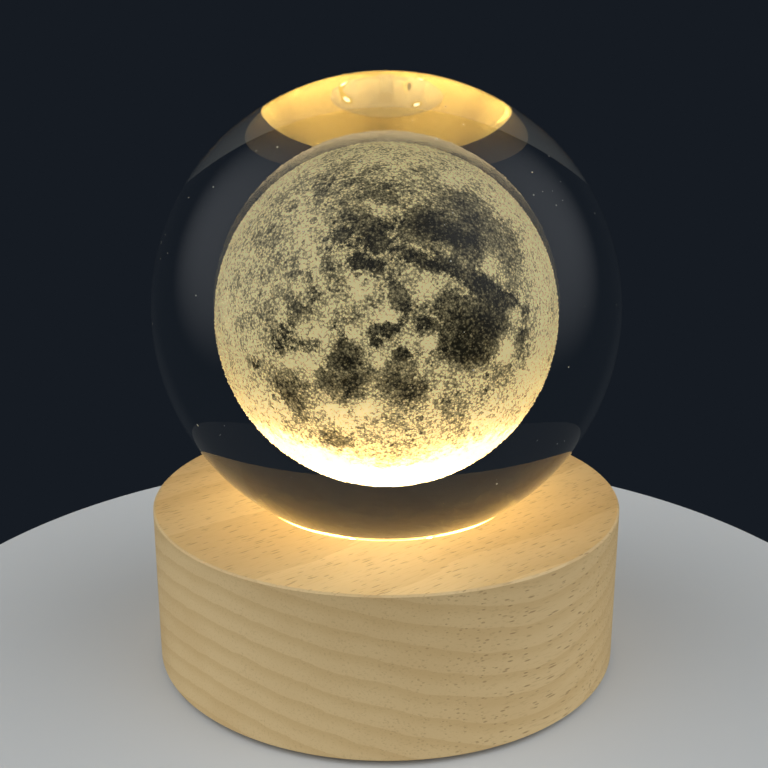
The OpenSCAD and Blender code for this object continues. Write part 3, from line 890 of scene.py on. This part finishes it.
def settle(piece, body, material=None, stands_for=()):
    """Lets a new piece ride on its body, with its finish and what it stands for."""
    if material:
        piece.data.materials.clear()
        piece.data.materials.append(material)
    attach(piece, body)
    if stands_for:
        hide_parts(*stands_for)


# ---------- settings ----------


def number(name, description, default, **limits):
    """A setting that holds one number."""
    return FloatProperty(name=name, description=description, default=default, **limits)


def shade(name, description, code):
    """A setting that holds a colour, given as sRGB hex."""
    return FloatVectorProperty(
        name=name, description=description, subtype="COLOR", size=3, min=0, max=1, default=linear(code)
    )


class MoonLampWood(bpy.types.PropertyGroup):
    """The turned beech base."""

    grain_turn: number(
        "Grain Turn", "Direction of the grain, from +X towards +Y", math.radians(40), unit="ROTATION"
    )
    ring_gap: number("Ring Gap", "Distance between growth rings", 3.4 * MM, unit="LENGTH")
    pith_depth: number(
        "Pith Depth", "Depth of the tree's middle below the base", 55 * MM, unit="LENGTH"
    )
    fleck_length: number("Fleck Length", "Length of the longest dark flecks", 4.2 * MM, unit="LENGTH")
    # The glow, well light, chip and leak gains and the glow and well colours set painted light:
    # emission on the wood that stands for the chips' light
    glow_strength: number("Glow", "Strength of the warm light across the top face", 0.36, min=0)
    well_strength: number("Well Light", "Strength of the lit wall of the light well", 4.8, min=0)
    beside_gain: number("Beside Chips", "How many times brighter the wall is beside a chip", 1.6, min=1)
    leak_gain: number("Leaks", "How many times brighter still the seat is beside a chip", 12.0, min=0)
    light_colour: shade("Light Wood", "Colour of the early wood", "#DBBD88")
    dark_colour: shade("Dark Wood", "Colour of the late wood", "#C6A26A")
    fleck_colour: shade("Flecks", "Colour of flecks and pores", "#8C6437")
    glow_colour: shade("Glow Colour", "Colour of the light on the top face", "#FFF2C4")
    well_colour: shade("Well Colour", "Colour of the light in the well", "#FFCE66")


class MoonLampGlass(bpy.types.PropertyGroup):
    """The crystal ball."""

    refraction: number("Refraction", "Index of refraction of crown glass", 1.517, min=1, max=2)
    tint: shade("Tint", "Faint cool tint of the glass", "#F7FBFA")
    speck_radius: number(
        "Speck Radius", "Radius of the largest specks of dust", 0.13 * MM, unit="LENGTH"
    )
    specks_per_area: number("Specks", "Specks on each square metre of the ball", 13000, min=0)


class MoonLampMoon(bpy.types.PropertyGroup):
    """The engraved moon."""

    turn: FloatVectorProperty(
        name="Turn",
        description="How the moon is turned in the ball, from north up and its near side at the front",
        subtype="EULER",
        size=3,
        default=(math.radians(-155.6), math.radians(47.6), math.radians(-164.0)),
    )
    dot_gap: number("Dot Gap", "Distance between engraved points", 0.28 * MM, unit="LENGTH")
    dot_radius: number("Dot Radius", "Radius of the raised engraved points", 0.10 * MM, unit="LENGTH")
    dots_per_area: number("Raised Dots", "Raised points on each square metre of the moon", 1.7e6, min=0)
    # The glow, top share, crescent, underside and low light strengths and the crescent colour set
    # painted light: emission on the engraving that stands for the chips' light
    glow_strength: number("Glow", "Strength of the engraving's light", 0.62, min=0)
    top_share: number("Top Share", "Share of that strength at the moon's top", 0.8, min=0, max=1)
    crescent_strength: number("Crescent", "Extra strength along the moon's lower edge", 1.5, min=0)
    underside_gain: number(
        "Underside", "How many times stronger the underside and back edge are", 5.2, min=1
    )
    low_strength: number("Low Light", "Extra strength towards the moon's lower half", 0.55, min=0)
    bright_colour: shade("Engraved", "Colour of the engraved points", "#F0DFA8")
    dark_colour: shade("Between", "Colour between the engraved points", "#1C1B14")
    crescent_colour: shade("Crescent Colour", "Colour of the lower edge", "#FFE2AC")


class MoonLampLight(bpy.types.PropertyGroup):
    """The light chips."""

    chip_strength: number("Chips", "Strength of the light chips", 45.0, min=0)
    chip_colour: shade("Chip Light", "Colour of the light chips", "#FFE9C8")
    resin_strength: number("Resin Glow", "Strength of the resin round each chip", 4.0, min=0)
    # The board glow and board light set painted light on the board, not light from the chips
    board_strength: number(
        "Board Glow", "Strength of the light that falls back on the board", 5.2, min=0
    )
    board_colour: shade("Board Light", "Colour of the light that falls back on the board", "#FFD07A")
    resin_colour: shade("Resin", "Colour of the chips' resin", "#F2C84B")


class MoonLampStage(bpy.types.PropertyGroup):
    """Floor, soft lights and camera."""

    floor_radius: number("Floor Radius", "Radius of the round floor", 0.095, unit="LENGTH")
    floor_colour: shade("Floor", "Colour of the floor", "#C6C6C3")
    air_colour: shade("Air", "Colour of the dark room", "#161B22")
    light_colour: shade("Light", "Colour of the large soft light", "#F4F9FF")
    side_strength: number("Side Lights", "Strength of the two soft side lights", 1.9, min=0)
    side_turn: number(
        "Side Turn", "Turn of each side light from the front", math.radians(80), unit="ROTATION"
    )
    side_height: number(
        "Side Height", "How high the side lights stand", math.radians(30), unit="ROTATION"
    )
    side_width: number("Side Width", "Half angle of each side light", math.radians(52), unit="ROTATION")
    front_strength: number("Front Light", "Strength of the soft light above the camera", 0.7, min=0)
    front_height: number(
        "Front Height", "How high the front light stands", math.radians(50), unit="ROTATION"
    )
    front_width: number(
        "Front Width", "Half angle of the front light", math.radians(60), unit="ROTATION"
    )
    gloss_share: number("Lights in Gloss", "Share of the lights that gloss shows", 0.3, min=0, max=1)
    glass_share: number(
        "Lights through Glass", "Share of the lights seen through glass", 0.06, min=0, max=1
    )
    # The floor in glass sets the painted shade of the floor where glass and gloss show it
    glass_floor: number(
        "Floor in Glass", "Share of the floor's colour that glass and gloss show", 0.12, min=0, max=1
    )
    camera_back: number(
        "Camera Back", "Distance of the camera in front of the lamp", 189.3 * MM, unit="LENGTH"
    )
    camera_up: number("Camera Height", "Height of the camera above the base", 75.0 * MM, unit="LENGTH")
    camera_tilt: number(
        "Camera Tilt", "How far the camera looks down", math.radians(16.16), unit="ROTATION"
    )
    lens: number("Lens", "Focal length on a 36 mm wide sensor, in millimetres", 52.35, unit="CAMERA")


# ---------- operators ----------


class MOONLAMP_OT_stage(bpy.types.Operator):
    """Makes the floor, the soft lights and the camera."""

    bl_idname = "moonlamp.stage"
    bl_label = "Stage"

    def execute(self, context):
        scene, stage = context.scene, context.scene.moon_lamp_stage
        shape = bmesh.new()
        bmesh.ops.create_circle(shape, cap_ends=True, segments=FLOOR_SIDES, radius=stage.floor_radius)
        mesh = bpy.data.meshes.new("floor")
        shape.to_mesh(mesh)
        shape.free()
        floor = place_object("floor", mesh)
        # Matt painted board; where clear glass and gloss show it, its colour is a painted shade, as dim
        # as the room round it
        material, tree, shader, _ = new_material("board_painted_matt")
        ray = add(tree, "ShaderNodeLightPath").outputs
        in_glass = add(tree, "MAXIMUM", ray["Is Glossy Ray"], ray["Is Transmission Ray"])
        dim = add(tree, "tint", 1.0, stage.floor_colour, (stage.glass_floor,) * 3)
        give(
            shader,
            Base_Color=add(tree, "mix", in_glass, stage.floor_colour, dim),
            Roughness=0.7,
            Specular_IOR_Level=0.3,
        )
        mesh.materials.append(material)

        # A dark room with a large soft light at each side, and a weaker one above the camera
        world = bpy.data.worlds.new("studio_air")
        world.use_nodes = True
        scene.world = world
        tree = world.node_tree
        background = tree.nodes["Background"]
        towards = add(tree, "ShaderNodeTexCoord").outputs["Generated"]
        parts = add(tree, "ShaderNodeSeparateXYZ", {0: towards}).outputs
        either_side = add(
            tree, "ShaderNodeCombineXYZ", {0: add(tree, "ABSOLUTE", parts[0]), 1: parts[1], 2: parts[2]}
        ).outputs[0]

        def glow_from(turn, height, edge, strength):
            flat = math.cos(height)
            aim = (math.sin(turn) * flat, -math.cos(turn) * flat, math.sin(height))
            facing = add(tree, "dot", either_side, aim)
            return add(tree, "step", facing, math.cos(edge), 1.0, 0.0, strength)

        sides = glow_from(stage.side_turn, stage.side_height, stage.side_width, stage.side_strength)
        front = glow_from(0.0, stage.front_height, stage.front_width, stage.front_strength)
        both = add(tree, "ADD", sides, front)
        # The camera and the clear glass show the dark room, and gloss shows the lights weaker
        ray = add(tree, "ShaderNodeLightPath").outputs
        unseen = add(tree, "SUBTRACT", 1.0, ray["Is Camera Ray"])
        in_gloss = add(tree, "slope", ray["Is Glossy Ray"], 0.0, 1.0, 1.0, stage.gloss_share)
        in_glass = add(tree, "slope", ray["Is Transmission Ray"], 0.0, 1.0, 1.0, stage.glass_share)
        share = add(tree, "MULTIPLY", unseen, add(tree, "MULTIPLY", in_gloss, in_glass))
        both = add(tree, "MULTIPLY", both, share)
        lit = add(tree, "vector times", tuple(stage.light_colour), both)
        sky = add(tree, "vector plus", lit, tuple(stage.air_colour))
        fill(background, {"Color": sky})

        data = bpy.data.cameras.new("view")
        data.sensor_width = SENSOR_WIDTH
        data.lens = stage.lens
        data.clip_start = NEAREST_SEEN
        camera = bpy.data.objects.new("view", data)
        camera.location = (CAMERA_SIDE, -stage.camera_back, BASE_TOP + stage.camera_up)
        camera.rotation_euler = (math.pi / 2 - stage.camera_tilt, 0, 0)
        scene.collection.objects.link(camera)
        scene.camera = camera
        scene.view_settings.view_transform = "Standard"
        return {"FINISHED"}


class MOONLAMP_OT_base(bpy.types.Operator):
    """Finishes the turned beech base, its cover, screws and feet."""

    bl_idname = "moonlamp.base"
    bl_label = "Beech Base"

    def execute(self, context):
        dress(["wood_base"], turned_beech(context.scene.moon_lamp_wood))
        # Injection-moulded ABS with a spark-eroded texture: dark, dull, faintly pebbled
        dress(
            ["bottom_cover"],
            moulded("abs_textured_dark", "#17181A", "#202224", 0.35 * MM, 0.03 * MM, 0.55),
        )
        # Zinc-plated steel: bluish white, slightly dull
        dress(["cover_screws"], plated("steel_zinc_plated", "#C9CBCD", "#A9ACAE", 0.32, 0.2 * MM))
        # Silicone rubber: black, matt, with a dusty bloom
        dress(
            ["foot_pads"],
            moulded("silicone_rubber_matt", "#0F0F10", "#1C1C1D", 0.25 * MM, 0.02 * MM, 0.8),
        )
        return {"FINISHED"}


class MOONLAMP_OT_ball(bpy.types.Operator):
    """Makes the clear crystal ball and the dust on it."""

    bl_idname = "moonlamp.ball"
    bl_label = "Crystal Ball"

    def execute(self, context):
        glass = context.scene.moon_lamp_glass
        ball = rounded_ball("crystal_ball_clear", BALL_CENTRE, BALL_RADIUS, BALL_CUTS)
        settle(ball, "ball", crystal_glass(glass), ["crystal_ball"])
        specks = grow(
            "glass_dust",
            scatter_tree("strew_dust"),
            {
                "Ball Radius": BALL_RADIUS - DUST_DEPTH,
                "Ball Centre": tuple(BALL_CENTRE),
                "Specks per Area": glass.specks_per_area,
                "Speck Radius": glass.speck_radius,
                "Smallest Share": 0.3,
                "Flatness": 0.12,
                "Lowest": -0.5 * BALL_RADIUS,
                "Seed": 11,
            },
            dust(),
        )
        settle(specks, "ball")
        return {"FINISHED"}


class MOONLAMP_OT_moon(bpy.types.Operator):
    """Makes the engraved moon inside the ball."""

    bl_idname = "moonlamp.moon"
    bl_label = "Engraved Moon"

    def execute(self, context):
        moon = context.scene.moon_lamp_moon
        body = rounded_ball("moon_engraved", MOON_CENTRE, MOON_RADIUS - SHELL_DEPTH, MOON_CUTS)
        settle(
            body,
            "ball",
            laser_engraving(moon, "laser_engraving_dense", False),
            ["moon_engraving"],
        )
        points = grow(
            "moon_raised_points",
            scatter_tree("strew_points"),
            {
                "Ball Radius": MOON_RADIUS - POINTS_DEPTH,
                "Ball Centre": tuple(MOON_CENTRE),
                "Specks per Area": moon.dots_per_area,
                "Speck Radius": moon.dot_radius,
                "Smallest Share": 0.5,
                "Flatness": 0.9,
                "Lowest": -1.0,
                "Seed": 3,
            },
            laser_engraving(moon, "laser_engraving_points", True),
        )
        settle(points, "ball")
        return {"FINISHED"}


class MOONLAMP_OT_light_board(bpy.types.Operator):
    """Finishes the light board and what is soldered on it."""

    bl_idname = "moonlamp.light_board"
    bl_label = "Light Board"

    def execute(self, context):
        light = context.scene.moon_lamp_light
        # White solder mask: glossy, slightly creamy
        mask = solder_mask("solder_mask_white", "#EDEBE4", "#F6F5F0", 5 * MM, 0.30)
        # The board and the pieces on it also get painted warm light, as emission, for the light from
        # the well's wall
        dress(["led_board"], in_well_light(mask, light))
        # Glass-filled nylon, moulded: warm white, satin
        nylon = moulded("nylon_filled_white", "#EDE9DC", "#E2DCCB", 0.2 * MM, 0.006 * MM, 0.45)
        dress(["led_packages"], in_well_light(nylon, light))
        dress(["led_windows"], chip_window(light))
        # Glazed resistor film on alumina: black, glossy
        glaze = moulded("resistor_glaze_black", "#0E0E10", "#1A1A1E", 0.3 * MM, 0.004 * MM, 0.25)
        dress(["chip_resistors"], in_well_light(glaze, light, 0.4))
        # Tin-lead solder, cooled bright
        tin = plated("solder_tin_bright", "#D5D6D8", "#B4B6B9", 0.24, 0.3 * MM)
        dress(["resistor_ends", "board_solder", "port_solder"], in_well_light(tin, light))
        zinc = plated("steel_zinc_plated_small", "#C9CBCD", "#A9ACAE", 0.32, 0.15 * MM)
        dress(["board_screws"], in_well_light(zinc, light))
        return {"FINISHED"}


class MOONLAMP_OT_leads(bpy.types.Operator):
    """Finishes the insulated leads and their sleeves."""

    bl_idname = "moonlamp.leads"
    bl_label = "Leads"

    def execute(self, context):
        # Soft PVC insulation: even colour, satin, a little wavy from the extruder
        dress(
            ["red_lead", "feed_lead"],
            moulded("pvc_red_soft", "#A3201A", "#8C1A16", 0.9 * MM, 0.01 * MM, 0.38),
        )
        dress(
            ["black_lead"], moulded("pvc_black_soft", "#131313", "#1F1F1F", 0.9 * MM, 0.01 * MM, 0.38)
        )
        # Shrunk polyolefin: black, dull, faintly wrinkled
        dress(
            ["heat_shrink_sleeves"],
            moulded("polyolefin_shrunk_black", "#101011", "#191919", 0.5 * MM, 0.015 * MM, 0.6),
        )
        return {"FINISHED"}


class MOONLAMP_OT_rear_panel(bpy.types.Operator):
    """Finishes the rear panel and the power port."""

    bl_idname = "moonlamp.rear_panel"
    bl_label = "Rear Panel and Port"

    def execute(self, context):
        # Injection-moulded ABS: near black, fine spark-eroded texture
        dress(
            ["rear_panel"],
            moulded("abs_textured_black", "#161617", "#1E1E20", 0.30 * MM, 0.02 * MM, 0.5),
        )
        dress(
            ["panel_screws"], plated("steel_zinc_plated_panel", "#C9CBCD", "#A9ACAE", 0.30, 0.15 * MM)
        )
        dress(
            ["port_board_screw"],
            plated("steel_zinc_plated_fine", "#C9CBCD", "#A9ACAE", 0.30, 0.12 * MM),
        )
        # Stainless sheet, deep drawn: long fine lines along the shell
        dress(
            ["port_shell"],
            plated("stainless_drawn_sheet", "#CFCFD0", "#B9BABC", 0.26, 0.12 * MM, (1, 0.1, 1)),
        )
        # Liquid-crystal polymer: black, hard, satin
        dress(
            ["port_tongue"],
            moulded("polymer_tongue_black", "#101012", "#18181B", 0.2 * MM, 0.005 * MM, 0.4),
        )
        dress(["port_contacts"], plated("gold_plated_contact", "#E3B857", "#C99E45", 0.22, 0.1 * MM))
        dress(["port_board"], solder_mask("solder_mask_green", "#1B5A33", "#2A7347", 2 * MM, 0.32))
        return {"FINISHED"}


class MOONLAMP_OT_switch(bpy.types.Operator):
    """Finishes the push button and its switch."""

    bl_idname = "moonlamp.switch"
    bl_label = "Push Button"

    def execute(self, context):
        # Moulded acetal: off-white, waxy satin
        dress(
            ["switch_button"],
            moulded("acetal_off_white", "#D8D6CE", "#CBC8BE", 0.3 * MM, 0.004 * MM, 0.35),
        )
        # Glass-filled nylon: black, satin
        dress(
            ["switch_housing", "switch_base"],
            moulded("nylon_filled_black", "#141415", "#1D1D1F", 0.25 * MM, 0.01 * MM, 0.48),
        )
        # Phosphor bronze, thinly gold plated
        dress(
            ["switch_terminals", "contact_bridge"],
            plated("bronze_gold_plated", "#DDB05A", "#C29647", 0.25, 0.1 * MM),
        )
        # Drawn spring wire, nickel plated; the real spring shortens as the button goes in, but this
        # copy keeps one length
        spring = merged_copy("switch_spring", "switch_spring_wire")
        wire = plated("spring_wire_nickel", "#C8C6C0", "#AFADA8", 0.25, 0.08 * MM)
        settle(spring, "base", wire, ["switch_spring"])
        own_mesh(spring)
        return {"FINISHED"}


class MOONLAMP_PT_panel(bpy.types.Panel):
    """Lists the lamp's pieces and their settings in the sidebar."""

    bl_idname = "MOONLAMP_PT_panel"
    bl_label = "Moon Lamp"
    bl_space_type = "VIEW_3D"
    bl_region_type = "UI"
    bl_category = "Moon Lamp"

    def draw(self, context):
        layout, scene = self.layout, context.scene
        for operator in OPERATORS:
            layout.operator(operator.bl_idname, text=operator.bl_label)
        for group in GROUPS:
            box = layout.box()
            box.label(text=group.__doc__)
            settings = getattr(scene, setting_name(group))
            for name in group.__annotations__:
                box.prop(settings, name)


GROUPS = (MoonLampWood, MoonLampGlass, MoonLampMoon, MoonLampLight, MoonLampStage)
OPERATORS = (
    MOONLAMP_OT_stage,
    MOONLAMP_OT_base,
    MOONLAMP_OT_ball,
    MOONLAMP_OT_moon,
    MOONLAMP_OT_light_board,
    MOONLAMP_OT_leads,
    MOONLAMP_OT_rear_panel,
    MOONLAMP_OT_switch,
)


def setting_name(group):
    """The name under which the scene keeps a group of settings."""
    return "moon_lamp_" + group.__name__.replace("MoonLamp", "").lower()


def register():
    for group in GROUPS:
        bpy.utils.register_class(group)
        setattr(bpy.types.Scene, setting_name(group), PointerProperty(type=group))
    for operator in OPERATORS:
        bpy.utils.register_class(operator)
    bpy.utils.register_class(MOONLAMP_PT_panel)


def unregister():
    bpy.utils.unregister_class(MOONLAMP_PT_panel)
    for operator in reversed(OPERATORS):
        bpy.utils.unregister_class(operator)
    for group in reversed(GROUPS):
        delattr(bpy.types.Scene, setting_name(group))
        bpy.utils.unregister_class(group)


def main():
    register()
    bpy.ops.moonlamp.stage()
    bpy.ops.moonlamp.base()
    bpy.ops.moonlamp.ball()
    bpy.ops.moonlamp.moon()
    bpy.ops.moonlamp.light_board()
    bpy.ops.moonlamp.leads()
    bpy.ops.moonlamp.rear_panel()
    bpy.ops.moonlamp.switch()


if __name__ == "__main__":
    main()
